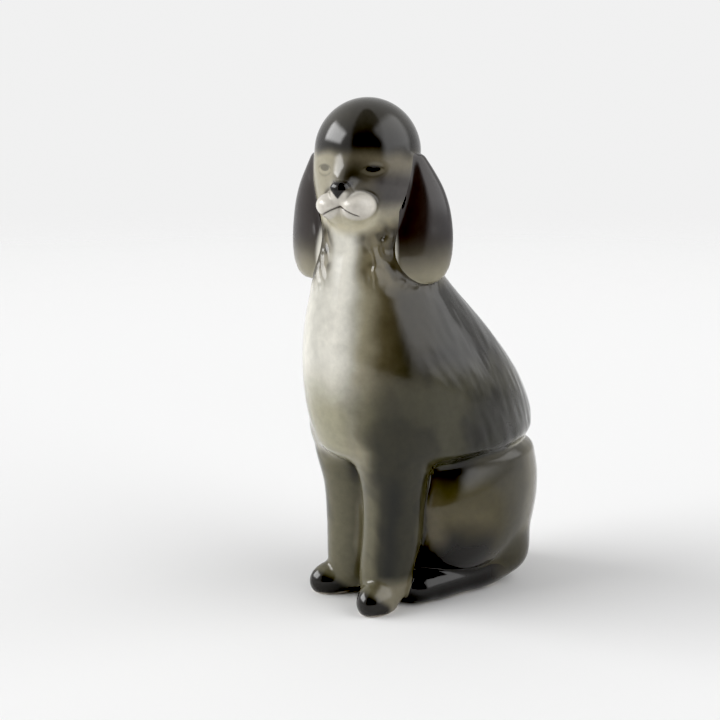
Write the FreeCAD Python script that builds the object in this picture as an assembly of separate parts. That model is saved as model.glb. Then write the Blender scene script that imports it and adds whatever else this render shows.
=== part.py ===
"""Seated poodle figurine in slip-cast porcelain.

The figurine is made as a potter assembles it: each casting is a solid of its own, and
neighbouring castings meet face to face where they are luted together with slip.

Millimetres. +Z is up, the dog faces -Y and its left side is +X. The origin is the centre
of the footprint, on the surface that the figurine stands on.
"""
import FreeCAD, Part
import math
import os

from FreeCAD import Matrix, Vector

# ---------------------------------------------------------------- driving dimensions
HEIGHT = 200.0          # floor to the crown of the topknot
WALL = 3.2              # thickness of the cast shell
PLATE_THICKNESS = 4.0   # slab that closes the pour opening
VENT_DIAMETER = 3.0     # kiln vent in the slab, and the air vents between castings

NECK_Y = -26.3          # upright axis that the head is turned about
HEAD_TURN = 30.0        # degrees, towards the dog's left

DOME_RADIUS = 21.0      # topknot
CHEEK_RADIUS = 17.0
CHEEK_HEIGHT = 166.0
EAR_SPLAY = 38.0        # degrees that an ear's flat side is turned from straight ahead

FORELEG_OFFSET = 10.5   # foreleg's middle from the plane of symmetry, at the foot
PAW_SPLAY = 18.0        # degrees that a forepaw points outwards
HAUNCH_OFFSET = 21.0
HIND_FOOT_OFFSET = 18.0

SQUARE_RUMP = 2.2       # exponents of the ovals: 2 is an ellipse, more is squarer
SQUARE_FOOT = 2.3
OUTLINE_POINTS = 16

# ---------------------------------------------------------------- stations
# Mane: height, y of the chest, y of the back, half width.
MANE = [
    (58, -38.0, 46.0, 30.0),
    (64, -43.5, 51.5, 34.5),
    (72, -47.0, 52.0, 36.0),
    (82, -49.5, 48.0, 36.0),
    (94, -51.0, 40.5, 34.5),
    (106, -51.2, 30.5, 31.5),
    (118, -50.0, 19.0, 27.5),
    (130, -47.5, 7.5, 23.0),
    (142, -44.5, -3.0, 19.0),
    (150, -42.5, -8.5, 16.0),
    (156, -40.5, -11.5, 14.0),
]

# Hindquarters: height, y of the belly, y of the rump, half width.
RUMP = [
    (0, -14.0, 41.0, 18.0),
    (8, -16.0, 46.0, 23.0),
    (20, -18.0, 52.0, 29.5),
    (32, -18.0, 54.5, 32.0),
    (45, -16.0, 54.5, 33.0),
    (66, -12.0, 49.5, 31.0),
]

# Web of clay behind the forelegs, under the belly.
WEB = [
    (0, -26.0, -2.0, 13.0),
    (30, -26.0, -2.0, 13.0),
    (62, -30.0, -2.0, 14.0),
]

# Left foreleg: height, x and y of the middle, half width, half depth.
FORELEG = [
    (0, FORELEG_OFFSET, -25.0, 8.0, 9.0),
    (8, FORELEG_OFFSET, -25.0, 10.0, 10.5),
    (16, FORELEG_OFFSET + 0.4, -24.2, 11.0, 11.0),
    (30, FORELEG_OFFSET + 1.5, -22.5, 12.2, 12.2),
    (45, FORELEG_OFFSET + 2.3, -22.5, 12.8, 12.8),
    (60, FORELEG_OFFSET + 3.5, -24.0, 14.2, 14.5),
    (72, FORELEG_OFFSET + 3.5, -26.0, 13.2, 13.5),
    (82, FORELEG_OFFSET + 2.5, -26.0, 8.0, 9.0),
]

# Left hind foot, from toe to heel: y, x and height of the middle, half width, half height.
HIND_FOOT = [
    (-20, HIND_FOOT_OFFSET - 1.5, 5.5, 3.0, 3.5),
    (-16, HIND_FOOT_OFFSET - 1.0, 6.0, 6.0, 5.5),
    (-8, HIND_FOOT_OFFSET - 0.5, 6.5, 7.2, 6.5),
    (8, HIND_FOOT_OFFSET, 7.0, 7.5, 7.0),
    (22, HIND_FOOT_OFFSET, 8.0, 8.0, 8.0),
    (34, HIND_FOOT_OFFSET - 1.0, 9.5, 6.5, 8.0),
]

# Left ear, in the head's own frame: height, x and y of the middle, half length, half thickness.
EAR = [
    (129.5, 21.8, -1.4, 3.5, 1.5),
    (131, 21.8, -1.4, 8.2, 3.8),
    (135, 21.8, -1.4, 11.6, 5.8),
    (140, 22.0, -1.4, 12.9, 6.4),
    (146, 22.5, -0.9, 12.7, 6.4),
    (153, 23.0, -0.1, 11.5, 6.1),
    (160, 22.9, 0.2, 10.1, 5.7),
    (167, 21.9, 0.2, 8.4, 5.2),
    (173, 20.4, 0.0, 6.4, 4.5),
    (178, 18.8, -0.5, 4.5, 3.6),
]

X_AXIS = Vector(1, 0, 0)
Y_AXIS = Vector(0, 1, 0)
Z_AXIS = Vector(0, 0, 1)
ORIGIN = Vector(0, 0, 0)


# ---------------------------------------------------------------- shape helpers
def outline(centre, u, v, half_u, half_v, squareness=2.0):
    """Closed smooth oval about centre, in the plane of the directions u and v."""
    points = []
    for i in range(OUTLINE_POINTS):
        angle = 2 * math.pi * i / OUTLINE_POINTS
        cosine = math.cos(angle)
        sine = math.sin(angle)
        along_u = half_u * math.copysign(abs(cosine) ** (2 / squareness), cosine)
        along_v = half_v * math.copysign(abs(sine) ** (2 / squareness), sine)
        points.append(centre + u * along_u + v * along_v)
    curve = Part.BSplineCurve()
    curve.interpolate(Points=points, PeriodicFlag=True)
    return Part.Wire([curve.toShape()])


def trunk(stations, squareness=2.0, inset=0.0):
    """Loft through level ovals, each given by its front, back and half width."""
    ovals = []
    for height, front, back, half_width in stations:
        centre = Vector(0, (front + back) / 2, height)
        half_depth = (back - front) / 2 - inset
        ovals.append(outline(centre, X_AXIS, Y_AXIS, half_width - inset, half_depth, squareness))
    return Part.makeLoft(ovals, True)


def egg(centre, radii, pitch=0.0, yaw=0.0):
    """Ellipsoid with the given three radii, pitched about X and then turned about Z."""
    place = Matrix()
    place.scale(*radii)
    place.rotateX(math.radians(pitch))
    place.rotateZ(math.radians(yaw))
    place.move(Vector(*centre))
    return Part.makeSphere(1.0).transformGeometry(place)


def mirrored(shape):
    """The same piece for the dog's other side."""
    return shape.mirror(ORIGIN, X_AXIS)


def above_floor(shape):
    """The part of a shape that is above the standing surface."""
    size = 2 * HEIGHT
    return shape.common(Part.makeBox(size, size, size, Vector(-HEIGHT, -HEIGHT, 0)))


def one_solid(shape):
    """The largest solid of a shape, without slivers."""
    return max(shape.Solids, key=lambda solid: solid.Volume)


def with_head(shape):
    """A shape from the head's own frame, set on the neck and turned with the head."""
    placed = shape.copy()
    placed.rotate(ORIGIN, Z_AXIS, HEAD_TURN)
    placed.translate(Vector(0, NECK_Y, 0))
    return placed


# ---------------------------------------------------------------- castings
def body_outside():
    """Mane, hindquarters, web and both haunches, as one closed form."""
    form = trunk(MANE).fuse(trunk(RUMP, SQUARE_RUMP))
    form = form.fuse(trunk(WEB))
    haunch = egg((HAUNCH_OFFSET, 8.5, 38), (12.8, 24, 25), pitch=-11)
    hock = egg((HAUNCH_OFFSET - 2, 32, 14), (8.5, 11.5, 11))
    for lump in (haunch, hock):
        form = form.fuse(lump).fuse(mirrored(lump))
    return above_floor(form)


def body_cavity():
    """Hollow inside the cast body: open below for pouring, and open at the neck."""
    chest = trunk(MANE[1:], inset=WALL)
    return chest.fuse(trunk(RUMP, SQUARE_RUMP, inset=WALL))


def head_outside():
    """Topknot, cheeks, bridge of the nose, both whisker pads and the chin."""
    dome = egg((0, 0.5, HEIGHT - DOME_RADIUS), (DOME_RADIUS - 0.6, DOME_RADIUS, DOME_RADIUS))
    cheeks = egg((0, -2, CHEEK_HEIGHT), (CHEEK_RADIUS + 0.5, CHEEK_RADIUS - 0.5, CHEEK_RADIUS))
    bridge = egg((0, -16, 165), (8.0, 11.5, 7.5))
    pad = egg((5.3, -21.8, 160.9), (5.8, 6.9, 5.3), yaw=-15)
    chin = egg((0, -18.5, 156), (7, 7.5, 5))
    form = dome.fuse(cheeks)
    for lump in (bridge, pad, mirrored(pad), chin):
        form = form.fuse(lump)
    return with_head(form)


def head_cavity():
    """Hollow inside the head, open at the neck."""
    inner = DOME_RADIUS - WALL
    dome = egg((0, 0.5, HEIGHT - DOME_RADIUS), (inner, inner, inner))
    inner = CHEEK_RADIUS - WALL
    cheeks = egg((0, -2, CHEEK_HEIGHT), (inner, inner, inner))
    return with_head(dome.fuse(cheeks))


def ear_outside():
    """Left ear: a hanging flap, thin at the top and full near the bottom."""
    turn = math.radians(EAR_SPLAY)
    along = Vector(math.cos(turn), math.sin(turn), 0)
    across = Vector(-math.sin(turn), math.cos(turn), 0)
    ovals = []
    for height, x, y, half_length, half_thickness in EAR:
        centre = Vector(x, y, height)
        ovals.append(outline(centre, along, across, half_length, half_thickness))
    return Part.makeLoft(ovals, True)


def foreleg_outside():
    """Left foreleg and paw, kept to its own side of the plane of symmetry."""
    ovals = []
    for height, x, y, half_width, half_depth in FORELEG:
        ovals.append(outline(Vector(x, y, height), X_AXIS, Y_AXIS, half_width, half_depth))
    leg = Part.makeLoft(ovals, True)
    paw = egg((FORELEG_OFFSET + 3.8, -31.5, 4.5), (7.4, 11, 8), yaw=PAW_SPLAY)
    own_side = Part.makeBox(HEIGHT, 2 * HEIGHT, HEIGHT, Vector(0, -HEIGHT, 0))
    return above_floor(leg.fuse(paw).common(own_side))


def foreleg_cavity():
    """Hollow inside the left foreleg."""
    ovals = []
    for height, x, y, half_width, half_depth in FORELEG[1:5]:
        reach = min(half_width - WALL, x - WALL)
        ovals.append(outline(Vector(x, y, height), X_AXIS, Y_AXIS, reach, half_depth - WALL))
    return Part.makeLoft(ovals, True)


def foreleg_vent():
    """Air vent from the left foreleg's hollow to the body's."""
    foot = Vector(FORELEG_OFFSET + 2.0, -20.0, 40.0)
    return Part.makeCylinder(VENT_DIAMETER / 2, 30.0, foot, Z_AXIS)


def hind_foot_outside():
    """Left hind foot, lying along the haunch."""
    ovals = []
    for y, x, height, half_width, half_height in HIND_FOOT:
        centre = Vector(x, y, height)
        ovals.append(outline(centre, X_AXIS, Z_AXIS, half_width, half_height, SQUARE_FOOT))
    return above_floor(Part.makeLoft(ovals, True))


def tail_outside():
    """Docked tail with its tuft, curled against the rump towards the dog's right."""
    root = egg((-2, 49, 23), (6, 6, 9), pitch=12)
    tuft = egg((-7, 48.5, 10), (9, 7.5, 9))
    return above_floor(root.fuse(tuft))


def base_plate(cavity):
    """Slab that closes the pour opening, with a kiln vent."""
    slab = Part.makeBox(HEIGHT, HEIGHT, PLATE_THICKNESS, Vector(-HEIGHT / 2, -HEIGHT / 2, 0))
    vent = Part.makeCylinder(VENT_DIAMETER / 2, PLATE_THICKNESS, Vector(0, 15, 0), Z_AXIS)
    return one_solid(cavity.common(slab).cut(vent))


# ---------------------------------------------------------------- assembly
def build():
    """Every casting by name. Where two forms share space, the later one is cut back."""
    body = body_outside()
    cavity = body_cavity()
    head = head_outside().cut(body)
    leg = foreleg_outside()
    left_leg = leg.cut(body)
    vent = foreleg_vent()
    ear = ear_outside()
    foot = hind_foot_outside().cut(body).cut(leg)

    pieces = {
        "body_casting": body.cut(cavity).cut(vent).cut(mirrored(vent)),
        "head_casting": head.cut(head_cavity()),
        "left_foreleg": left_leg.cut(foreleg_cavity()).cut(vent),
        "left_hind_foot": foot,
        "tail": tail_outside().cut(body),
    }
    for side, shape in (("left", ear), ("right", mirrored(ear))):
        pieces[side + "_ear"] = with_head(shape).cut(head_outside()).cut(body)
    pieces = {name: one_solid(shape) for name, shape in pieces.items()}
    for name in ("foreleg", "hind_foot"):
        pieces["right_" + name] = mirrored(pieces["left_" + name])
    pieces["base_plate"] = base_plate(cavity)
    return pieces


os.makedirs("parts", exist_ok=True)
for name, solid in build().items():
    solid.exportStep("parts/" + name + ".step")
    box = solid.optimalBoundingBox()
    print("%-15s %-6s %8.0f mm3  x %6.1f %6.1f  y %6.1f %6.1f  z %6.1f %6.1f" % (
        name, solid.isValid(), solid.Volume,
        box.XMin, box.XMax, box.YMin, box.YMax, box.ZMin, box.ZMax))
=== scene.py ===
"""Seated poodle figurine in glazed porcelain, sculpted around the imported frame.

The dog is modelled as one continuous clay form, a signed distance field in millimetres on the
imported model's axes: +Z up, the dog faces -Y, its left side is +X. The form's skin is then divided
into the castings that the frame names, so that each piece is a closed mesh of its own and the
glaze runs across the joints without a seam.
"""
import math

import bpy
import numpy as np
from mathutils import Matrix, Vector

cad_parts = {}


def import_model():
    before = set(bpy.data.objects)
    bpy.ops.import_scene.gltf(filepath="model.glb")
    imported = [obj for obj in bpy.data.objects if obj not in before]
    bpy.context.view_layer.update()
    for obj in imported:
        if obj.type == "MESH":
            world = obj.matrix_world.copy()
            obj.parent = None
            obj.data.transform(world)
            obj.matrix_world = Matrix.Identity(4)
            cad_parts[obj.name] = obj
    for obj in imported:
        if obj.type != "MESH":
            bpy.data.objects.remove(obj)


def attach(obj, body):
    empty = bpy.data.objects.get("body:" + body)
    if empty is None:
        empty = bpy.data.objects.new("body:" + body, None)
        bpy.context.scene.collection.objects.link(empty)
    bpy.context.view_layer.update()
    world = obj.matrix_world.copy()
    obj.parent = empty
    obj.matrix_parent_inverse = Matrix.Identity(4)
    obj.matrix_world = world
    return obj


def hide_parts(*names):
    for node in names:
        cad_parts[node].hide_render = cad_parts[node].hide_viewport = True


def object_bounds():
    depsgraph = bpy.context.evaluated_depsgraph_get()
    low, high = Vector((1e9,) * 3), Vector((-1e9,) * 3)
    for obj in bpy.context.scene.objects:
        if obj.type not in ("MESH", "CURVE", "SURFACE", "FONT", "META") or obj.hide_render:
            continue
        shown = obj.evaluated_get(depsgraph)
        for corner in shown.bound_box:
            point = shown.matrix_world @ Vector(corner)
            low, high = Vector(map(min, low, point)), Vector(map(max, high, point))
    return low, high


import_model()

CAD_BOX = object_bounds()
MM = 0.001

# ---------------------------------------------------------------- driving dimensions (mm)
LOW, HIGH = np.array(CAD_BOX[0]) / MM, np.array(CAD_BOX[1]) / MM
HEIGHT = HIGH[2] - LOW[2]

NECK = np.array([0.0, -26.3, 0.0])   # upright axis that the head is turned about
HEAD_TURN = 30.0                     # degrees, towards the dog's left
EAR_SPLAY = 38.0                     # degrees
PAW_SPLAY = 18.0                     # degrees

SKIN_STEP = 0.6   # spacing of the grid that the skin is read from

# Mane: height, y of the chest, y of the back, half width.
MANE = [
    (58, -38.0, 46.0, 30.0), (64, -43.5, 51.5, 34.5), (72, -47.0, 52.0, 36.0),
    (82, -49.5, 48.0, 36.0), (94, -51.0, 40.5, 34.5), (106, -51.2, 30.5, 31.5),
    (118, -50.0, 19.0, 27.5), (130, -47.5, 7.5, 23.0), (142, -44.5, -2.0, 19.5),
    (154, -41.5, -6.0, 18.0), (166, -38.0, -9.0, 16.0),
]
# Hindquarters: height, y of the belly, y of the rump, half width.
RUMP = [
    (0, -14.0, 41.0, 18.0), (8, -16.0, 46.0, 23.0), (20, -18.0, 52.0, 29.5),
    (32, -18.0, 54.5, 32.0), (45, -16.0, 54.5, 33.0), (60, -12.0, 51.5, 31.5),
]
# The rest: height, x and y of the middle, half width, half depth.
WEB = [(0, 0, -14, 13, 12), (30, 0, -14, 13, 12), (60, 0, -16, 14, 14)]
FORELEG = [
    (3, 10.5, -25.0, 8.5, 9.5), (8, 10.5, -25.0, 10.0, 10.5), (14, 10.8, -24.5, 10.8, 11.0),
    (30, 12.0, -22.5, 12.2, 12.2), (45, 12.8, -22.5, 12.8, 12.8), (60, 14.0, -24.0, 14.2, 14.5),
    (72, 14.6, -26.0, 13.4, 13.5), (82, 15.0, -26.0, 8.0, 8.5),
]
# Hind foot, from toe to heel: y, x and height of the middle, half width, half height.
HIND_FOOT = [
    (-20, 16.5, 5.5, 3.0, 3.5), (-16, 17.0, 6.0, 6.0, 5.5), (-8, 17.5, 6.5, 7.2, 6.5),
    (8, 18.0, 7.0, 7.5, 7.0), (22, 18.0, 8.0, 8.0, 8.0), (34, 17.0, 9.5, 6.5, 8.0),
]
# Ear, in the head's frame: height, x and y of the middle, half length, half thickness.
EAR = [
    (129.5, 21.8, -1.4, 3.0, 1.2), (130.3, 21.8, -1.4, 6.5, 3.0), (132, 21.8, -1.4, 9.4, 4.6),
    (135, 21.8, -1.4, 11.6, 5.8), (140, 22.0, -1.4, 12.9, 6.4), (146, 22.5, -0.9, 12.7, 6.4),
    (153, 23.0, -0.1, 11.5, 6.1), (160, 22.9, 0.2, 10.1, 5.7), (167, 21.9, 0.2, 8.4, 5.2),
    (173, 20.4, 0.0, 6.4, 4.5), (179, 18.6, -0.6, 4.3, 3.6),
]


# ================================================================ clay: distance fields
def curve(knots, values, t):
    """Smooth curve through (knots, values), level beyond both ends."""
    slopes = np.gradient(values, knots)
    t = np.clip(t, knots[0], knots[-1])
    i = np.clip(np.searchsorted(knots, t) - 1, 0, len(knots) - 2)
    gap = knots[i + 1] - knots[i]
    s = (t - knots[i]) / gap
    return ((2 * s**3 - 3 * s**2 + 1) * values[i] + (s**3 - 2 * s**2 + s) * gap * slopes[i]
            + (3 * s**2 - 2 * s**3) * values[i + 1] + (s**3 - s**2) * gap * slopes[i + 1])


def join(a, b, blend):
    """Union of two forms, with a fillet about as wide as blend."""
    near = np.maximum(blend - np.abs(a - b), 0) / blend
    return np.minimum(a, b) - near * near * blend / 4


def trim(a, b, blend):
    """Form a inside form b, with a rounded edge."""
    return -join(-a, -b, blend)


def turned(p, centre, yaw=0.0, pitch=0.0):
    """Points in the frame of a form at centre, pitched about X and then turned about Z."""
    q = p - np.asarray(centre, float)
    for i, j, degrees in ((0, 1, yaw), (1, 2, pitch)):
        if degrees:
            c, s = math.cos(math.radians(degrees)), math.sin(math.radians(degrees))
            qi = q[..., i] * c + q[..., j] * s
            qj = -q[..., i] * s + q[..., j] * c
            q = q.copy()
            q[..., i] = qi
            q[..., j] = qj
    return q


def egg(p, centre, radii, yaw=0.0, pitch=0.0):
    """Ellipsoid with three radii."""
    radii = np.asarray(radii, float)
    q = turned(p, centre, yaw, pitch) / radii
    inner = np.sqrt((q**2).sum(-1))
    outer = np.sqrt(((q / radii) ** 2).sum(-1))
    return inner * (inner - 1) / np.maximum(outer, 1e-6)


def bone(p, a, b, radius_a, radius_b):
    """Rounded bar from a to b."""
    a, b = np.asarray(a, float), np.asarray(b, float)
    along = b - a
    t = np.clip(((p - a) @ along) / (along @ along), 0, 1)
    radius = radius_a + (radius_b - radius_a) * t * t * (3 - 2 * t)
    return np.sqrt(((p - a - t[..., None] * along) ** 2).sum(-1)) - radius


def stack(p, stations, squareness=2.0, cap=4.0, yaw=0.0):
    """Form through stacked ovals, with rounded ends."""
    z, middle_x, middle_y, half_x, half_y = np.array(stations, float).T
    height = p[..., 2]
    x = p[..., 0] - curve(z, middle_x, height)
    y = p[..., 1] - curve(z, middle_y, height)
    if yaw:
        c, s = math.cos(math.radians(yaw)), math.sin(math.radians(yaw))
        x, y = x * c + y * s, -x * s + y * c
    a, b = curve(z, half_x, height), curve(z, half_y, height)
    rho = ((np.abs(x) / a) ** squareness + (np.abs(y) / b) ** squareness) ** (1 / squareness)
    side = (rho - 1) * np.sqrt(x * x + y * y) / np.maximum(rho, 1e-3)
    side = np.where(rho > 1e-3, side, -np.minimum(a, b))
    return trim(side, np.maximum(z[0] - height, height - z[-1]), cap)


def trunk(rows):
    """Stations of a symmetric form from its front, back and half width."""
    return [(z, 0.0, (front + back) / 2, half, (back - front) / 2) for z, front, back, half in rows]


def both_sides(p):
    """Points folded onto the dog's left side."""
    q = p.copy()
    q[..., 0] = np.abs(q[..., 0])
    return q


# A turn that keeps the lattice of the noise off the dog's axes.
ASKEW = np.array([[0.64, 0.48, -0.6], [-0.6, 0.8, 0.0], [0.48, 0.36, 0.8]])


def noise(p, size, seed=0):
    """Smooth random field from -1 to 1, with features about `size` mm across."""
    q = p @ ASKEW / size + 512.0
    cell = np.floor(q).astype(np.int64)
    f = q - cell
    f = f * f * (3 - 2 * f)
    total = np.zeros(p.shape[:-1])
    for corner in range(8):
        step = np.array([corner & 1, corner >> 1 & 1, corner >> 2 & 1])
        key = ((cell + step) * np.array([73856093, 19349663, 83492791])).sum(-1) + seed * 7919
        key = (key ^ (key >> 13)) * 1274126177 & 0x7FFFFFFF
        key = (key ^ (key >> 15)) * 668265263 & 0x7FFFFFFF
        weight = np.where(step, f, 1 - f).prod(-1)
        total += weight * (key / 0x3FFFFFFF - 1)
    return total


def ramp(t, start, end):
    """0 before start, 1 after end, smooth between them."""
    s = np.clip((t - start) / (end - start), 0, 1)
    return s * s * (3 - 2 * s)


def bump(t, middle, width):
    """Soft band: 1 in the middle, fading to 0 a little beyond its width."""
    return np.exp(-(((t - middle) / width) ** 2))


def spot(p, centre, radii):
    """1 at the centre of a soft patch, 0 outside it."""
    return 1 - ramp(np.sqrt((((p - np.asarray(centre, float)) / radii) ** 2).sum(-1)), 0.0, 1.0)


# ================================================================ the dog's forms
# Eggs of clay: centre and radii. Those with two sides are given on the dog's left.
HAUNCH = ((21, 8.5, 38), (12.8, 24, 25))
HAUNCH_LEAN = -11.0
HOCK = ((19, 32, 14), (8.5, 11.5, 11))
PAW = ((14.3, -31.5, 4.5), (7.4, 11, 8))
TAIL_ROOT = ((-2, 49, 23), (6, 6, 9))
TAIL_TIP = ((-7, 48.5, 10), (9, 7.5, 9))
# In the head's frame:
TOPKNOT = ((0, 0.5, HEIGHT - 21.2), (20.4, 21, 21.2))
CHEEKS = ((0, -2, 166), (17.5, 16.5, 17))
PAD = ((5.3, -21.8, 160.7), (5.8, 6.9, 4.7))
PAD_SPLAY = -15.0
CHIN = ((0, -18.0, 157.8), (6.6, 6.8, 4.4))
NOSE = ((0, -26.4, 167.4), (3.6, 2.4, 2.5))
EYE = (9.8, -14.5, 174.0)
EYE_SOCKET = (6.0, 9.0, 4.0)


def mouth_height(x):
    """Height of the mouth line, a wide upturned V, at x in the head's frame."""
    return 160.9 - 0.5 * np.sqrt(x**2 + 0.35)


def head_frame(p):
    """Points in the frame of the head before it is turned."""
    return turned(p, NECK, yaw=HEAD_TURN)


def mane_form(p):
    """Chest, back and neck under the long coat."""
    return stack(p, trunk(MANE), squareness=2.05, cap=8)


def rump_form(p):
    """Clipped hindquarters with the haunches and hocks, and the web behind the forelegs."""
    q = both_sides(p)
    form = stack(p, trunk(RUMP), squareness=2.2, cap=4)
    form = join(form, stack(p, WEB, cap=3), 3)
    form = join(form, egg(q, *HAUNCH, pitch=HAUNCH_LEAN), 6)
    return join(form, egg(q, *HOCK), 6)


def foreleg_form(p):
    """Both forelegs with their paws."""
    q = both_sides(p)
    leg = stack(q, FORELEG, cap=3)
    return join(leg, egg(q, *PAW, yaw=PAW_SPLAY), 2)


def hind_foot_form(p):
    """Both hind feet, stacked from toe to heel."""
    q = both_sides(p)[..., [0, 2, 1]]
    return stack(q, HIND_FOOT, squareness=2.2, cap=4)


def tail_form(p):
    """Short docked tail with a round tuft."""
    root = egg(p, *TAIL_ROOT, pitch=12)
    return join(root, egg(p, *TAIL_TIP), 3)


def head_form(p):
    """Topknot, cheeks, bridge of the nose, whisker pads, chin and nose."""
    q = head_frame(p)
    form = join(egg(q, *TOPKNOT), egg(q, *CHEEKS), 8)
    form = join(form, bone(q, (0, -14, 172), (0, -24, 165.5), 6.0, 4.6), 5)
    form = join(form, egg(both_sides(q), *PAD, yaw=PAD_SPLAY), 1.6)
    form = join(form, egg(q, *CHIN), 4)
    return join(form, egg(q, *NOSE), 1.4)


def ear_form(p):
    """Both ears."""
    return stack(both_sides(head_frame(p)), EAR, cap=1.5, yaw=EAR_SPLAY)


# Each form with the box that it lies in and the width of its fillet, in the order of joining.
FORMS = [
    (rump_form, (-45, -45, -8), (45, 65, 75), 3.0),
    (hind_foot_form, (-45, -30, -8), (45, 50, 26), 2.0),
    (tail_form, (-28, 30, -8), (20, 65, 42), 1.5),
    (foreleg_form, (-40, -60, -8), (40, 5, 92), 2.0),
    (mane_form, (-45, -65, 48), (45, 65, 182), 5.0),
    (head_form, (-35, -75, 135), (45, 10, 205), 12.0),
    (ear_form, (-50, -70, 126), (55, 20, 186), 1.6),
]
AIR = 40.0   # distance given to points far from every form


def inside_box(p, low, high):
    """Which points lie between two corners."""
    return np.all((p > np.array(low)) & (p < np.array(high)), axis=-1)


def curl_bands(p, sway):
    """Waves that wind over the neck, from -1 to 1."""
    swirl = p + sway * np.stack([noise(p, 7, seed) for seed in (11, 12, 13)], -1)
    return np.sin(swirl[..., 0] * 1.5 + swirl[..., 2] * 0.55)


def relief(p):
    """Modelling on the skin, in mm outwards: fur strokes, neck curls, eye sockets and mouth."""
    q = head_frame(p)
    total = np.zeros(p.shape[:-1])

    # Fur on the mane's flanks and back: strokes that run down and to the rear.
    along = p[..., 2] * -0.9 + p[..., 1] * 0.44
    across = p[..., 2] * 0.44 + p[..., 1] * 0.9
    strokes = noise(np.stack([across / 2.6, along / 9.0, p[..., 0] / 6.0], -1), 1.0, seed=3)
    flank = ramp(p[..., 1], -32, -8) * ramp(p[..., 2], 58, 70) * (1 - ramp(p[..., 2], 118, 140))
    total += 0.2 * strokes * flank

    # Curls at the neck, in front of and under the ears.
    neck = (ramp(p[..., 2], 124, 134) * (1 - ramp(p[..., 2], 148, 154))
            * ramp(np.abs(q[..., 0] + 1.5), 6, 12) * (1 - ramp(q[..., 1], 2, 12))
            * ramp(ear_form(p), 0.5, 3.0))
    total += (0.5 * curl_bands(p, 2.2) + 0.4 * noise(p, 2.8, seed=25)) * neck

    # The topknot's lower edge, the eye sockets and the mouth.
    head = ramp(mane_form(p), 2, 6)
    total -= 0.15 * head * bump(q[..., 2] + 0.1 * q[..., 1], 178.5, 3.4) * ramp(ear_form(p), 1, 4)
    total -= 0.6 * spot(both_sides(q), EYE, EYE_SOCKET)
    ends = 1 - ramp(np.abs(q[..., 0]), 6.6, 8.0)
    mouth = bump(q[..., 2], mouth_height(q[..., 0]), 0.42) * ends
    total -= 0.4 * mouth * (q[..., 1] < -15)
    return total


def dog(p):
    """Signed distance to the whole dog."""
    f = np.full(p.shape[:-1], AIR)
    for form, low, high, blend in FORMS:
        near = inside_box(p, low, high)
        if near.any():
            f[near] = join(f[near], form(p[near]), blend)
    skin = np.abs(f) < 3
    if skin.any():
        f[skin] -= relief(p[skin])
    return trim(f, -p[..., 2], 0.8)


def slope(p, step=0.04):
    """Gradient of the dog's field."""
    parts = []
    for axis in range(3):
        shift = np.zeros(3)
        shift[axis] = step
        parts.append((dog(p + shift) - dog(p - shift)) / (2 * step))
    return np.stack(parts, -1)


def settle(p, rounds=2):
    """Points moved onto the dog's skin."""
    for _ in range(rounds):
        g = slope(p)
        size = np.maximum((g * g).sum(-1, keepdims=True), 0.25)
        p = p - np.clip(dog(p)[..., None] * g / size, -0.4, 0.4)
    return p


# ================================================================ skin
def sample_grid(step):
    """The dog's field on a grid, in slabs so that memory stays small."""
    low, high = LOW - 3 * step, HIGH + 3 * step
    axes = [np.arange(l, h + step, step) for l, h in zip(low, high)]
    f = np.empty([len(a) for a in axes])
    slab = 12
    for i in range(0, len(axes[0]), slab):
        points = np.stack(np.meshgrid(axes[0][i:i + slab], axes[1], axes[2], indexing="ij"), -1)
        f[i:i + slab] = dog(points)
    return axes, f


def surface_nets(axes, f):
    """Quads of the surface f = 0: one vertex in each cell that it crosses."""
    solid = f < 0
    shape = f.shape
    corners = [(i, j, k) for i in (0, 1) for j in (0, 1) for k in (0, 1)]

    def at_corner(values, c):
        return values[tuple(slice(o, n - 1 + o) for o, n in zip(c, shape))]

    count = sum(at_corner(solid, c).astype(np.int8) for c in corners)
    on_skin = (count > 0) & (count < 8)
    cells = np.argwhere(on_skin)
    index = np.full(on_skin.shape, -1, np.int64)
    index[on_skin] = np.arange(len(cells))
    value = {c: at_corner(f, c)[on_skin] for c in corners}
    total = np.zeros((len(cells), 3))
    hits = np.zeros(len(cells))
    for c in corners:
        for axis in range(3):
            if c[axis]:
                continue
            end = tuple(1 if i == axis else c[i] for i in range(3))
            crossed = (value[c] < 0) != (value[end] < 0)
            point = np.tile(np.array(c, float), (crossed.sum(), 1))
            point[:, axis] = value[c][crossed] / (value[c][crossed] - value[end][crossed])
            total[crossed] += point
            hits[crossed] += 1
    step = axes[0][1] - axes[0][0]
    vertices = np.array([a[0] for a in axes]) + (cells + total / hits[:, None]) * step

    quads = []
    for axis in range(3):
        u, v = (axis + 1) % 3, (axis + 2) % 3
        first = [slice(None)] * 3
        second = [slice(None)] * 3
        first[axis] = slice(0, -1)
        second[axis] = slice(1, None)
        edges = np.argwhere(solid[tuple(first)] != solid[tuple(second)])
        leaving = solid[tuple(first)][tuple(edges.T)]
        ring = []
        for du, dv in ((1, 1), (0, 1), (0, 0), (1, 0)):
            cell = edges.copy()
            cell[:, u] -= du
            cell[:, v] -= dv
            ring.append(index[tuple(cell.T)])
        quad = np.stack(ring, -1)
        quad[~leaving] = quad[~leaving][:, ::-1]
        quads.append(quad)
    return vertices, np.concatenate(quads)


def to_triangles(vertices, quads):
    """Two triangles for each quad, across its shorter diagonal."""
    a, b, c, d = quads.T
    short = (((vertices[a] - vertices[c]) ** 2).sum(-1) < ((vertices[b] - vertices[d]) ** 2).sum(-1))
    one = np.where(short[:, None], np.stack([a, b, c], -1), np.stack([a, b, d], -1))
    two = np.where(short[:, None], np.stack([a, c, d], -1), np.stack([b, c, d], -1))
    return np.concatenate([one, two])


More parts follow.
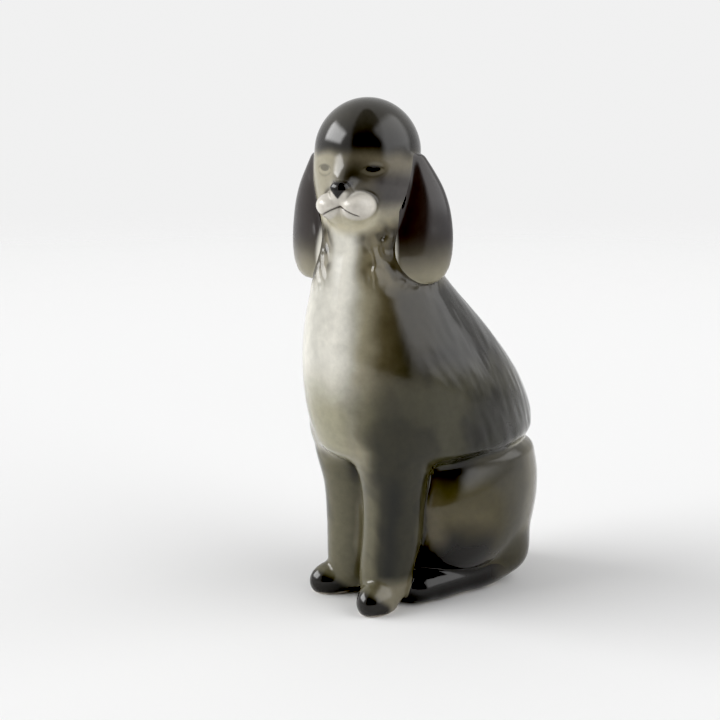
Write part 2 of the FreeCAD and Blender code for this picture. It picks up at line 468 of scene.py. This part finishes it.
def split(vertices, triangles, g):
    """Triangles divided along g = 0. Returns the vertices, those with g < 0, and the rest."""
    g = np.where(np.abs(g) < 1e-4, 1e-4, g)
    inside = g[triangles] < 0
    n = inside.sum(1)
    crossing = triangles[(n == 1) | (n == 2)]
    lone_inside = (n == 1)[(n == 1) | (n == 2)]
    side = g[crossing] < 0
    lone = np.where(lone_inside, np.argmax(side, 1), np.argmin(side, 1))
    rows = np.arange(len(crossing))
    a, b, c = (crossing[rows, (lone + k) % 3] for k in range(3))
    edges = np.sort(np.concatenate([np.stack([a, b], -1), np.stack([a, c], -1)]), 1)
    unique, which = np.unique(edges, axis=0, return_inverse=True)
    which = which.reshape(-1)
    t = (g[unique[:, 0]] / (g[unique[:, 0]] - g[unique[:, 1]]))[:, None]
    cuts = vertices[unique[:, 0]] * (1 - t) + vertices[unique[:, 1]] * t
    ab = len(vertices) + which[:len(a)]
    ac = len(vertices) + which[len(a):]
    vertices = np.concatenate([vertices, cuts])
    tips = np.stack([a, ab, ac], -1)
    bases = np.concatenate([np.stack([ab, b, c], -1), np.stack([ab, c, ac], -1)])
    doubled = np.concatenate([lone_inside, lone_inside])
    own = np.concatenate([triangles[n == 3], tips[lone_inside], bases[~doubled]])
    rest = np.concatenate([triangles[n == 0], tips[~lone_inside], bases[doubled]])
    return vertices, own, rest


def edges_of(triangles):
    """The three edges of each triangle, in its own direction round."""
    return np.concatenate([triangles[:, [0, 1]], triangles[:, [1, 2]], triangles[:, [2, 0]]])


def refine(vertices, triangles):
    """Each triangle divided into four."""
    edges = np.sort(edges_of(triangles), 1)
    unique, which = np.unique(edges, axis=0, return_inverse=True)
    which = which.reshape(3, -1) + len(vertices)
    vertices = np.concatenate([vertices, vertices[unique].mean(1)])
    a, b, c = triangles.T
    ab, bc, ca = which
    return vertices, np.concatenate([
        np.stack([a, ab, ca], -1), np.stack([ab, b, bc], -1),
        np.stack([ca, bc, c], -1), np.stack([ab, bc, ca], -1)])


def open_loops(triangles):
    """Closed chains of the edges that only one triangle has."""
    have = set(map(tuple, edges_of(triangles).tolist()))
    after = {}
    for a, b in have:
        if (b, a) not in have:
            after.setdefault(b, []).append(a)
    loops = []
    while after:
        start = next(iter(after))
        loop = [start]
        while True:
            ends = after[loop[-1]]
            step = ends.pop()
            if not ends:
                del after[loop[-1]]
            if step == start:
                break
            loop.append(step)
            if step not in after:
                break
        loops.append(loop)
    return loops


# ================================================================ castings
def nearest_other(p, own):
    """Distance to the closest form other than `own`."""
    others = np.full(p.shape[:-1], AIR)
    for form, low, high, _ in FORMS:
        if form is own:
            continue
        near = inside_box(p, low, high)
        if near.any():
            others[near] = np.minimum(others[near], form(p[near]))
    return others


def seam(form, keep_left=None, turned_with_head=False):
    """A function that is negative where the skin belongs to one form, on one side of the dog."""
    def g(p):
        value = np.full(p.shape[:-1], AIR)
        low, high = next((low, high) for f, low, high, _ in FORMS if f is form)
        near = inside_box(p, low, high)
        value[near] = form(p[near]) - nearest_other(p[near], form)
        if keep_left is not None:
            x = (head_frame(p) if turned_with_head else p)[..., 0]
            value = np.maximum(value, -x if keep_left else x)
        return value
    return g


PLATE_INSET = 4.0   # from the edge of the foot to the edge of the base plate


def plate_seam(p):
    """Negative on the slab that closes the pour opening underneath."""
    _, front, back, half = RUMP[0]
    oval = (front + PLATE_INSET, back - PLATE_INSET, half - PLATE_INSET)
    inner = stack(p, trunk([(-20, *oval), (20, *oval)]), 2.2, 1.0)
    return np.where(p[..., 2] < 0.3, inner, AIR)


SEAMS = [
    ("left_ear", seam(ear_form, True, True)),
    ("right_ear", seam(ear_form, False, True)),
    ("head_casting", seam(head_form)),
    ("left_foreleg", seam(foreleg_form, True)),
    ("right_foreleg", seam(foreleg_form, False)),
    ("left_hind_foot", seam(hind_foot_form, True)),
    ("right_hind_foot", seam(hind_foot_form, False)),
    ("tail", seam(tail_form)),
]
FINE = {"head_casting"}


# ================================================================ underglaze paint
def colour(red, green, blue):
    """Linear colour from display values of 0 to 255."""
    c = np.array([red, green, blue]) / 255
    return np.where(c <= 0.04045, c / 12.92, ((c + 0.055) / 1.055) ** 2.4)


CREAM = colour(222, 219, 208)
IVORY = colour(206, 199, 174)
SAND = colour(150, 144, 122)
UMBER = colour(50, 45, 34)
SLATE = colour(66, 64, 66)
SOOT = colour(17, 14, 12)
PINK_WHITE = colour(210, 205, 195)
LIP = colour(44, 33, 29)


def brush(paint, mask, tint):
    """One pass of the airbrush over the paint so far."""
    return paint + (tint - paint) * np.clip(mask, 0, 1)[..., None]


def mixed(a, b, weight):
    """Paint a where the weight is 0, and b where it is 1."""
    return a + (b - a) * weight[..., None]


def mane_paint(p):
    """Cream chest, darkening round the flanks and towards the hem, with a painted highlight on the hem's
    rear edge and painted shade round the ears.
    """
    q = head_frame(p)
    x, y, z = np.abs(p[..., 0]), p[..., 1], p[..., 2]
    cloud = 0.6 * noise(p, 14, 21) + 0.4 * noise(p, 6, 22)
    angle = np.degrees(np.arctan2(x, -(y + 12))) + 5 * cloud
    paint = np.tile(colour(192, 190, 180), p.shape[:-1] + (1,))
    paint = brush(paint, 0.8 * bump(angle, 15, 8), CREAM)
    paint = brush(paint, ramp(angle, 20, 34), SAND)
    paint = brush(paint, ramp(angle, 29, 46), colour(82, 75, 56))
    paint = brush(paint, ramp(angle, 43, 60), colour(46, 42, 31))
    paint = brush(paint, 0.7 * ramp(angle, 66, 100), colour(30, 30, 28))

    low = 1 - ramp(z + 4 * cloud, 78, 104)
    paint = brush(paint, 0.9 * low * (1 - ramp(angle, 15, 32)), colour(142, 138, 112))
    paint = brush(paint, 0.9 * low * ramp(angle, 10, 28), colour(92, 88, 66))
    paint = brush(paint, 0.9 * low * ramp(angle, 28, 48), colour(52, 50, 35))
    paint = brush(paint, 0.8 * low * bump(angle, 84, 14), colour(66, 64, 49))
    paint = brush(paint, 0.85 * low * ramp(angle, 96, 112), colour(26, 25, 18))
    blots = ramp(noise(p, 8, 23), 0.0, 0.7) * ramp(angle, 40, 60)
    paint = brush(paint, 0.5 * blots, SOOT)
    # Painted highlight along the rounded rear edge of the hem.
    hem_highlight = 1 - ramp(z, 60, 67)
    paint = brush(paint, 0.8 * hem_highlight * ramp(y, 18, 32), colour(176, 172, 152))

    # Brown curls at the neck, and painted shade round the ears, where they hang over the neck.
    curls = 0.5 + 0.5 * curl_bands(p, 2.5)
    neck = ramp(z, 126, 138) * ramp(np.abs(q[..., 0] + 2), 3, 9)
    tufts = ramp(noise(p, 3.5, 24), -0.2, 0.5)
    paint = brush(paint, 0.8 * neck, colour(122, 113, 88))
    paint = brush(paint, neck * (0.3 * curls + 0.7 * tufts), colour(44, 38, 26))
    # Painted shade on the neck close to the ears.
    under_ear_shade = 1 - ramp(ear_form(p), 0.5, 7)
    return brush(paint, 0.8 * under_ear_shade * ramp(z, 118, 130), UMBER)


def foreleg_paint(p):
    """Sand on the inner side, mottled umber on the outer, black toes, and painted shade high on the
    inner side under the mane.
    """
    x, y, z = np.abs(p[..., 0]), p[..., 1], p[..., 2]
    round_leg = np.degrees(np.arctan2(x - 12.5, -(y + 23.5))) + 9 * noise(p, 10, 31)
    paint = np.tile(colour(92, 88, 69), p.shape[:-1] + (1,))
    paint = brush(paint, ramp(z, 54, 66) * (1 - ramp(round_leg, 6, 26)), SAND)
    paint = brush(paint, ramp(round_leg, 6, 36), colour(42, 40, 26))
    core = bump(round_leg, 52, 17) * (1 - ramp(z, 48, 62))
    paint = brush(paint, 0.85 * core, colour(17, 18, 11))
    paint = brush(paint, 0.8 * ramp(round_leg, 96, 122), colour(76, 72, 54))
    # Painted shade high on the inner side, under the mane's hem.
    inner = ramp(-round_leg, 28, 50)
    paint = brush(paint, 0.9 * inner * ramp(z, 44, 54), colour(34, 30, 18))
    paint = brush(paint, 0.5 * ramp(-round_leg, 55, 70) * (1 - ramp(z, 36, 48)), SAND)
    blots = ramp(noise(p, 5.5, 32), 0.0, 0.8) * ramp(z, 16, 26) * ramp(round_leg, -30, 20)
    paint = brush(paint, 0.45 * blots, colour(24, 22, 14))
    foot = (1 - ramp(z + noise(p, 6, 33), 9, 15)) * ramp(round_leg, 10, 35)
    paint = brush(paint, 0.9 * foot, colour(120, 114, 95))
    toes = (1 - ramp(z + 0.7 * (y + 36), 5, 9)) * ramp(-y, 29, 33)
    return brush(paint, 0.97 * toes, SOOT)


def rump_paint(p):
    """Moss haunches, pale in front, with black knees and black along the feet."""
    x, y, z = np.abs(p[..., 0]), p[..., 1], p[..., 2]
    cloud = noise(p, 9, 41)
    paint = np.tile(colour(66, 60, 36), p.shape[:-1] + (1,))
    paint = brush(paint, 0.8 * bump(z + 0.3 * y, 37, 6) * (1 - ramp(y, 4, 16)), colour(84, 77, 54))
    paint = brush(paint, 0.7 * ramp(z + 3 * cloud, 46, 54), colour(46, 44, 36))
    paint = brush(paint, 0.75 * ramp(y + 4 * cloud, 12, 24), colour(56, 53, 42))
    paint = brush(paint, 0.6 * ramp(y + 2 * cloud, 28, 36) * ramp(z, 20, 26), colour(104, 98, 80))
    paint = brush(paint, 0.98 * spot(p, (31, -3, 57.5), (15, 12, 10)), SOOT)
    band = (1 - ramp(z + 3 * cloud + 0.2 * y, 22, 37)) * (1 - ramp(y, 8, 24))
    paint = brush(paint, 0.97 * band, SOOT)
    paint = brush(paint, 0.8 * (1 - ramp(y + 2 * cloud, -14, -7)) * ramp(z, 18, 30), colour(104, 96, 75))
    paint = brush(paint, 0.8 * (1 - ramp(x, 8, 20)) * (1 - ramp(y, -14, -4)), UMBER)
    return paint


def hind_foot_paint(p):
    """Black toes, moss towards the heel."""
    paint = np.tile(SOOT, p.shape[:-1] + (1,))
    return brush(paint, 0.8 * ramp(p[..., 1], 16, 32), colour(72, 66, 50))


def ear_paint(p):
    """Near-black ears with a beige hem, and a pale front edge that is a beige rim with a painted
    highlight on it.
    """
    q = both_sides(head_frame(p))
    z = p[..., 2] + 1.5 * noise(p, 7, 51)
    c, s = math.cos(math.radians(EAR_SPLAY)), math.sin(math.radians(EAR_SPLAY))
    along = (q[..., 0] - 22) * c + q[..., 1] * s
    inner = ramp(q[..., 1] * c - (q[..., 0] - 22) * s, 1.0, 4.0)
    paint = np.tile(colour(46, 40, 38), p.shape[:-1] + (1,))
    paint = brush(paint, 0.5 * ramp(along, 0, 8), colour(52, 50, 52))
    paint = brush(paint, 0.75 * inner, colour(74, 65, 49))
    paint = brush(paint, (1 - ramp(z, 128, 152)) ** 1.6, SAND)
    # Pale front edge: a beige rim, brightened with a painted highlight.
    front = (1 - ramp(along, -11.5, -10.0)) * (1 - ramp(z, 145, 152))
    return brush(paint, 0.9 * front, CREAM)


def head_paint(p):
    """Sand face, darker towards the dog's left with a slate cheek, under a near-black topknot; that
    darkening is partly paint and partly painted shade.
    """
    q = head_frame(p)
    x, y, z = q[..., 0], q[..., 1], q[..., 2]
    cloud = noise(p, 7, 61)
    paint = np.tile(colour(160, 154, 134), p.shape[:-1] + (1,))
    # Darker towards the dog's left, away from the lamp: partly paint, partly painted shade.
    paint = brush(paint, ramp(x + 2 * cloud, -9, 3), colour(106, 99, 82))
    paint = brush(paint, 0.85 * ramp(x + 1.5 * cloud, 6, 13) * (1 - ramp(z, 169, 176)), SLATE)
    chin = (1 - ramp(z + cloud, 152, 163)) * (1 - ramp(y, -8, 0))
    paint = brush(paint, 0.95 * chin, IVORY)

    topknot = ramp(z + 1.5 * cloud + 0.12 * y, 175.5, 182)
    paint = brush(paint, 0.95 * topknot, colour(46, 44, 39))
    paint = brush(paint, 0.8 * topknot * (1 - ramp(z, 184, 194)), SOOT)
    paint = brush(paint, 0.8 * ramp(y, 2, 10), colour(40, 38, 35))

    bridge = bump(x, 3.2, 6.6) * bump(z, 172.0, 6.6) * ramp(-y, 6, 12)
    paint = brush(paint, bridge, colour(42, 39, 33))
    # The dog's right eye is painted fainter, as a painted reflection of the lamp washing over it.
    for side, glare_faded_strength in ((1, 1.0), (-1, 0.6)):
        paint = paint_eye(paint, q, side, glare_faded_strength)
    return muzzle_paint(paint, q)


def paint_eye(paint, q, side, glare_faded_strength):
    """A dark almond eye, a pale lower lid and a crease beneath it."""
    across = (q[..., 0] - side * EYE[0]) * side
    up = q[..., 2] - EYE[2]
    facing = q[..., 1] < -8
    lid = 1 - ramp((across / 4.2) ** 2 + ((up + 0.6) / 2.4) ** 2, 0.5, 1.1)
    paint = brush(paint, 0.12 * lid * facing, SAND)
    reach = 1 - ramp(np.abs(across), 2.8, 4.2)
    lash = bump(up - 1.4 + 0.1 * across**2, 0, 0.4)
    paint = brush(paint, 0.8 * glare_faded_strength * lash * reach * facing, UMBER)
    crease = bump(up + 2.7 - 0.1 * across**2, 0, 0.45)
    paint = brush(paint, 0.55 * glare_faded_strength * crease * reach * facing, UMBER)
    pupil = 1 - ramp((across / 2.8) ** 2 + ((up - 0.1) / 1.35) ** 2, 0.5, 1.0)
    return brush(paint, 0.97 * glare_faded_strength * pupil * facing, SOOT)


def muzzle_paint(paint, q):
    """White whisker pads, a fine mouth line and a black nose."""
    x, y, z = q[..., 0], q[..., 1], q[..., 2]
    pad = egg(both_sides(q), *PAD, yaw=PAD_SPLAY)
    # Painted shade in the crease round the outer sides of the whisker pads.
    crease = bump(pad, 1.4, 0.9) * ramp(np.abs(x), 4, 8) * ramp(z, 157, 163)
    paint = brush(paint, 0.8 * crease * (y < -12), UMBER)
    between = (1 - ramp(np.abs(x), 2.5, 4.5)) * ramp(z, 156, 160) * (1 - ramp(z, 165.5, 167))
    pads = np.maximum(1 - ramp(pad, 0.2, 1.0), between * ramp(-y, 21, 23))
    paint = brush(paint, pads * (y < -13), PINK_WHITE)
    mouth = bump(z - mouth_height(x), 0, 0.33) * (1 - ramp(np.abs(x), 6.6, 7.8))
    paint = brush(paint, 0.98 * mouth * (y < -18), LIP)
    width = np.clip((z - 163.4) * 0.85, 0, 4.1)
    nose = (1 - ramp(np.abs(x) - width, -0.4, 0.4)) * ramp(z, 163.2, 164.0) * (1 - ramp(z, 169.2, 170.4))
    return brush(paint, nose * ramp(-y, 21.5, 23.0), SOOT)


def body_paint(p):
    """The paint of the head, the mane, the forelegs and the rump, running into each other, with painted
    shade in the crease between the forelegs and the haunches.
    """
    mane, leg, rump = mane_form(p), foreleg_form(p), rump_form(p)
    head_weight = ramp(mane - head_form(p), -5.0, 3.0)
    leg_weight = ramp(mane - leg + 2 * noise(p, 8, 71), -9, 3)
    paint = mixed(mane_paint(p), foreleg_paint(p), leg_weight)
    paint = mixed(paint, head_paint(p), head_weight)
    rump_weight = ramp(np.minimum(mane, leg) - rump, -1.0, 1.0)
    paint = mixed(paint, rump_paint(p), rump_weight)
    # Painted shade in the crease where the forelegs meet the haunches.
    crease_shade_behind_leg = bump(leg - rump + 0.8 * noise(p, 3, 72), 0, 1.4) * ramp(p[..., 1], -22, -14)
    crease_shade_behind_leg *= ramp(mane - np.minimum(leg, rump), -1.0, 2.0) * ramp(p[..., 2], 12, 24)
    return brush(paint, 0.9 * crease_shade_behind_leg, SOOT)


PAINTS = {
    "left_ear": ear_paint, "right_ear": ear_paint,
    "left_hind_foot": hind_foot_paint, "right_hind_foot": hind_foot_paint,
    "tail": rump_paint,
}


def paint_at(name, p):
    """Colour of the fired paint at points of one casting's skin, with bare clay at the foot."""
    paint = PAINTS.get(name, body_paint)(p)
    bare = 1 - ramp(p[..., 2] + 0.5 * noise(p, 5, 81), 0.4, 1.2)
    return brush(paint, bare, colour(206, 196, 182))


# ================================================================ materials
def new_material(name):
    """A material with its nodes, links and Principled shader."""
    material = bpy.data.materials.new(name)
    material.use_nodes = True
    nodes, links = material.node_tree.nodes, material.node_tree.links
    return material, nodes, links, nodes["Principled BSDF"]


def glaze_material(name, mottle):
    """Airbrushed underglaze paint, slightly mottled, under a clear wavy glaze."""
    material, nodes, links, shader = new_material(name)
    shader.inputs["Roughness"].default_value = 0.55
    shader.inputs["Specular IOR Level"].default_value = 0.1
    shader.inputs["Coat Weight"].default_value = 1.0
    shader.inputs["Coat Roughness"].default_value = 0.10
    shader.inputs["Coat IOR"].default_value = 1.5

    paint = nodes.new("ShaderNodeAttribute")
    paint.attribute_name = "paint"
    place = nodes.new("ShaderNodeTexCoord")
    grain = nodes.new("ShaderNodeTexNoise")
    grain.inputs["Scale"].default_value = 260.0
    grain.inputs["Detail"].default_value = 5.0
    grain.inputs["Roughness"].default_value = 0.6
    links.new(place.outputs["Object"], grain.inputs["Vector"])
    strength = nodes.new("ShaderNodeMapRange")
    strength.inputs["From Min"].default_value = 0.3
    strength.inputs["From Max"].default_value = 0.7
    strength.inputs["To Min"].default_value = 1 - mottle
    strength.inputs["To Max"].default_value = 1 + mottle
    links.new(grain.outputs["Fac"], strength.inputs["Value"])
    tone = nodes.new("ShaderNodeVectorMath")
    tone.operation = "SCALE"
    links.new(paint.outputs["Color"], tone.inputs[0])
    links.new(strength.outputs["Result"], tone.inputs["Scale"])
    links.new(tone.outputs["Vector"], shader.inputs["Base Color"])

    ripple = nodes.new("ShaderNodeTexNoise")
    ripple.inputs["Scale"].default_value = 110.0
    ripple.inputs["Detail"].default_value = 2.0
    links.new(place.outputs["Object"], ripple.inputs["Vector"])
    waves = nodes.new("ShaderNodeBump")
    waves.inputs["Strength"].default_value = 0.25
    waves.inputs["Distance"].default_value = 0.0004
    links.new(ripple.outputs["Fac"], waves.inputs["Height"])
    links.new(waves.outputs["Normal"], shader.inputs["Coat Normal"])
    return material


def bare_material():
    """Unglazed porcelain: matt, faintly pink, with a fine sandy grain."""
    material, nodes, links, shader = new_material("bare_porcelain")
    shader.inputs["Roughness"].default_value = 0.85
    place = nodes.new("ShaderNodeTexCoord")
    grain = nodes.new("ShaderNodeTexNoise")
    grain.inputs["Scale"].default_value = 900.0
    links.new(place.outputs["Object"], grain.inputs["Vector"])
    tones = nodes.new("ShaderNodeValToRGB")
    tones.color_ramp.elements[0].color = (*colour(214, 198, 184), 1)
    tones.color_ramp.elements[1].color = (*colour(240, 230, 220), 1)
    links.new(grain.outputs["Fac"], tones.inputs["Fac"])
    links.new(tones.outputs["Color"], shader.inputs["Base Color"])
    sand = nodes.new("ShaderNodeBump")
    sand.inputs["Distance"].default_value = 0.0001
    links.new(grain.outputs["Fac"], sand.inputs["Height"])
    links.new(sand.outputs["Normal"], shader.inputs["Normal"])
    return material


# ================================================================ building the pieces
# Points inside each casting, that its caps run to.
CORES = {
    "body_casting": [(0, -8, 84), (0, -24, 140), (0, 15, 30)],
    "head_casting": [(0, -26.3, 172)],
    "left_foreleg": [(12.5, -22.5, 45)], "right_foreleg": [(-12.5, -22.5, 45)],
    "left_hind_foot": [(17.5, 6, 7)], "right_hind_foot": [(-17.5, 6, 7)],
    "tail": [(-4, 48, 15)],
    "base_plate": [(0, 15, 3)],
}


def cores_of(name):
    """Cores of one casting; an ear's lies in the middle of it, beside the turned head."""
    if name.endswith("ear"):
        side = 1 if name.startswith("left") else -1
        c, s = math.cos(math.radians(HEAD_TURN)), math.sin(math.radians(HEAD_TURN))
        return [(NECK[0] + side * 22 * c, NECK[1] + side * 22 * s, 150)]
    return CORES[name]


def fan_caps(name, points, faces):
    """Fans that close each open edge of a casting, inside the clay, and the hubs they run to."""
    caps = []
    hubs = []
    for loop in open_loops(faces):
        if len(loop) < 3:
            continue
        middle = points[loop].mean(0)
        hub = min(np.array(cores_of(name), float), key=lambda core: np.linalg.norm(core - middle))
        centre = len(points) + len(hubs)
        hubs.append(hub)
        for i, a in enumerate(loop):
            caps.append((a, loop[(i + 1) % len(loop)], centre))
    return hubs, caps


def new_mesh(name, points, faces, normals):
    """Smooth-shaded mesh from points in mm, with the clay's own normals."""
    mesh = bpy.data.meshes.new(name)
    mesh.vertices.add(len(points))
    mesh.vertices.foreach_set("co", (points * MM).astype(np.float32).ravel())
    mesh.loops.add(faces.size)
    mesh.loops.foreach_set("vertex_index", faces.astype(np.int32).ravel())
    mesh.polygons.add(len(faces))
    mesh.polygons.foreach_set("loop_start", np.arange(0, faces.size, 3, dtype=np.int32))
    mesh.update(calc_edges=True)
    mesh.validate()
    mesh.polygons.foreach_set("use_smooth", np.ones(len(mesh.polygons), bool))
    mesh.normals_split_custom_set_from_vertices(normals.tolist())
    return mesh


def make_piece(name, vertices, triangles, material):
    """A closed mesh of one casting: its skin, and caps inside the clay where it joins others."""
    used, compact = np.unique(triangles, return_inverse=True)
    points = vertices[used]
    faces = compact.reshape(-1, 3)
    if name in FINE:
        points, faces = refine(points, faces)
    points = settle(points)
    normals = slope(points)
    normals /= np.maximum(np.linalg.norm(normals, axis=1, keepdims=True), 1e-9)

    hubs, caps = fan_caps(name, points, faces)
    if hubs:
        points = np.concatenate([points, np.array(hubs)])
        faces = np.concatenate([faces, np.array(caps)])
        normals = np.concatenate([normals, np.tile([0.0, 0.0, 1.0], (len(hubs), 1))])

    mesh = new_mesh(name + "_glazed", points, faces, normals)
    if name != "base_plate":
        tone = np.ones((len(points), 4))
        tone[:, :3] = np.clip(paint_at(name, points), 0.002, 0.95)
        layer = mesh.attributes.new("paint", "FLOAT_COLOR", "POINT")
        layer.data.foreach_set("color", tone.astype(np.float32).ravel())
    mesh.materials.append(material)
    piece = bpy.data.objects.new(name + "_glazed", mesh)
    bpy.context.scene.collection.objects.link(piece)
    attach(piece, "root")
    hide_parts(name)
    return piece


def build_dog():
    """The dog's skin, divided into castings one after another; the body is what is left."""
    grey = glaze_material("grey_glaze", 0.10)
    dark = glaze_material("dark_glaze", 0.05)
    bare = bare_material()
    dark_pieces = {"left_ear", "right_ear", "left_hind_foot", "right_hind_foot"}

    vertices, quads = surface_nets(*sample_grid(SKIN_STEP))
    vertices = settle(vertices)
    rest = to_triangles(vertices, quads)
    for name, seam_of in SEAMS + [("base_plate", plate_seam)]:
        vertices, own, rest = split(vertices, rest, seam_of(vertices))
        if name == "base_plate":
            make_piece(name, vertices, own, bare)
        elif name in dark_pieces:
            make_piece(name, vertices, own, dark)
        else:
            make_piece(name, vertices, own, grey)
    make_piece("body_casting", vertices, rest, grey)


# ================================================================ stage
VIEW_AZIMUTH = 52.8       # degrees from straight ahead of the dog, towards its left
VIEW_ELEVATION = 11.4
CAMERA_PIVOT = (0, 0.0075, 0.095)   # the camera stands off this point,
CAMERA_DIRECTION = (49.7, 11.3)     # at this azimuth and elevation,
CAMERA_DISTANCE = 0.560             # this many metres away
LENS = 68.4
FLOOR_HALF = 3.0
FLOOR_PAPER = 0.835                 # how much of the light the floor gives back
BACKDROP = 0.88           # brightness of the surroundings as the viewer sees them
AROUND = 0.68             # light from the sides and from beyond the dog
BEHIND_VIEWER = 0.06      # light from the dark side of the room, behind the viewer
BLACK_POINT = 0.02        # brightness that is shown as black
# Azimuth, elevation, half width, half height, soft edge (degrees) and brightness.
PANELS = [
    (VIEW_AZIMUTH - 88, 29, 25, 13, 5, 6.6),    # the window on the viewer's left
    (VIEW_AZIMUTH + 72, 34, 34, 28, 8, 1.5),    # its reflector on the right
    (VIEW_AZIMUTH, 20, 34, 85, 6, BEHIND_VIEWER - AROUND),
]


def direction(azimuth, elevation):
    """Unit vector towards a viewer at that azimuth and elevation."""
    a, e = math.radians(azimuth), math.radians(elevation)
    return Vector((math.sin(a) * math.cos(e), -math.cos(a) * math.cos(e), math.sin(e)))


def aim(obj, towards):
    """Turn a camera to look along a direction, level with the horizon."""
    obj.rotation_euler = (-Vector(towards)).to_track_quat("Z", "Y").to_euler()


def camera():
    """The camera at the viewing angle."""
    data = bpy.data.cameras.new("camera")
    data.sensor_width = 36.0
    data.lens = LENS
    data.clip_end = 50.0
    obj = bpy.data.objects.new("camera", data)
    bpy.context.scene.collection.objects.link(obj)
    obj.location = Vector(CAMERA_PIVOT) + direction(*CAMERA_DIRECTION) * CAMERA_DISTANCE
    aim(obj, -direction(VIEW_AZIMUTH, VIEW_ELEVATION))
    bpy.context.scene.camera = obj


def floor():
    """Plain pale paper that fades out, far from the dog, into the backdrop."""
    mesh = bpy.data.meshes.new("floor")
    half = FLOOR_HALF
    mesh.from_pydata([(-half, -half, 0), (half, -half, 0), (half, half, 0), (-half, half, 0)],
                     [], [(0, 1, 2, 3)])
    material, nodes, links, shader = new_material("floor_paper")
    shader.inputs["Base Color"].default_value = (FLOOR_PAPER, FLOOR_PAPER, FLOOR_PAPER, 1)
    shader.inputs["Roughness"].default_value = 0.9
    shader.inputs["Specular IOR Level"].default_value = 0.0
    place = nodes.new("ShaderNodeTexCoord")
    reach = nodes.new("ShaderNodeVectorMath")
    reach.operation = "LENGTH"
    links.new(place.outputs["Object"], reach.inputs[0])
    fade = nodes.new("ShaderNodeMapRange")
    fade.interpolation_type = "SMOOTHSTEP"
    fade.inputs["From Min"].default_value = 0.5
    fade.inputs["From Max"].default_value = 1.8
    fade.inputs["To Min"].default_value = 1.0
    fade.inputs["To Max"].default_value = 0.0
    links.new(reach.outputs["Value"], fade.inputs["Value"])
    links.new(fade.outputs["Result"], shader.inputs["Alpha"])
    mesh.materials.append(material)
    obj = bpy.data.objects.new("floor", mesh)
    bpy.context.scene.collection.objects.link(obj)


def dot(nodes, links, place, axis):
    """How far the view direction of the world points along an axis."""
    product = nodes.new("ShaderNodeVectorMath")
    product.operation = "DOT_PRODUCT"
    product.inputs[1].default_value = axis
    links.new(place, product.inputs[0])
    return product.outputs["Value"]


def blend(nodes, links, value, start, end, at_start, at_end):
    """Smooth step from one level to another."""
    step = nodes.new("ShaderNodeMapRange")
    step.interpolation_type = "SMOOTHSTEP"
    step.inputs["From Min"].default_value = start
    step.inputs["From Max"].default_value = end
    step.inputs["To Min"].default_value = at_start
    step.inputs["To Max"].default_value = at_end
    links.new(value, step.inputs["Value"])
    return step.outputs["Result"]


def calculate(nodes, links, operation, a, b=None):
    """Result of a math node; b is a socket, a number or nothing."""
    node = nodes.new("ShaderNodeMath")
    node.operation = operation
    links.new(a, node.inputs[0])
    if isinstance(b, float):
        node.inputs[1].default_value = b
    elif b is not None:
        links.new(b, node.inputs[1])
    return node.outputs["Value"]


def panel(nodes, links, place, azimuth, elevation, half_width, half_height, edge, strength):
    """A distant soft-edged light panel; its size and edge in degrees."""
    towards = direction(azimuth, elevation)
    right = towards.cross(Vector((0, 0, 1))).normalized()
    up = right.cross(towards)
    ahead = dot(nodes, links, place, towards)
    level = None
    for axis, half in ((right, half_width), (up, half_height)):
        angle = calculate(nodes, links, "ARCTAN2", dot(nodes, links, place, axis), ahead)
        angle = calculate(nodes, links, "ABSOLUTE", angle)
        top = strength if level is None else 1.0
        mask = blend(nodes, links, angle, math.radians(half - edge), math.radians(half + edge), top, 0)
        level = mask if level is None else calculate(nodes, links, "MULTIPLY", level, mask)
    return level


def world():
    """Pale studio: white all round, darker on the side that the viewer stands on."""
    w = bpy.data.worlds.new("studio")
    bpy.context.scene.world = w
    w.use_nodes = True
    nodes, links = w.node_tree.nodes, w.node_tree.links
    background = nodes["Background"]
    place = nodes.new("ShaderNodeTexCoord").outputs["Generated"]
    light = AROUND
    for settings in PANELS:
        light = calculate(nodes, links, "ADD", panel(nodes, links, place, *settings), light)
    path = nodes.new("ShaderNodeLightPath")
    seen = nodes.new("ShaderNodeMix")
    links.new(path.outputs["Is Camera Ray"], seen.inputs["Factor"])
    links.new(light, seen.inputs["A"])
    seen.inputs["B"].default_value = BACKDROP
    links.new(seen.outputs["Result"], background.inputs["Strength"])
    background.inputs["Color"].default_value = (1, 1, 1, 1)


def studio():
    """Camera, floor and light, shown plainly with a small black level."""
    view = bpy.context.scene.view_settings
    view.view_transform = "Standard"
    view.use_curve_mapping = True
    view.curve_mapping.black_level = (BLACK_POINT, BLACK_POINT, BLACK_POINT)
    view.curve_mapping.update()
    camera()
    floor()
    world()


build_dog()
studio()
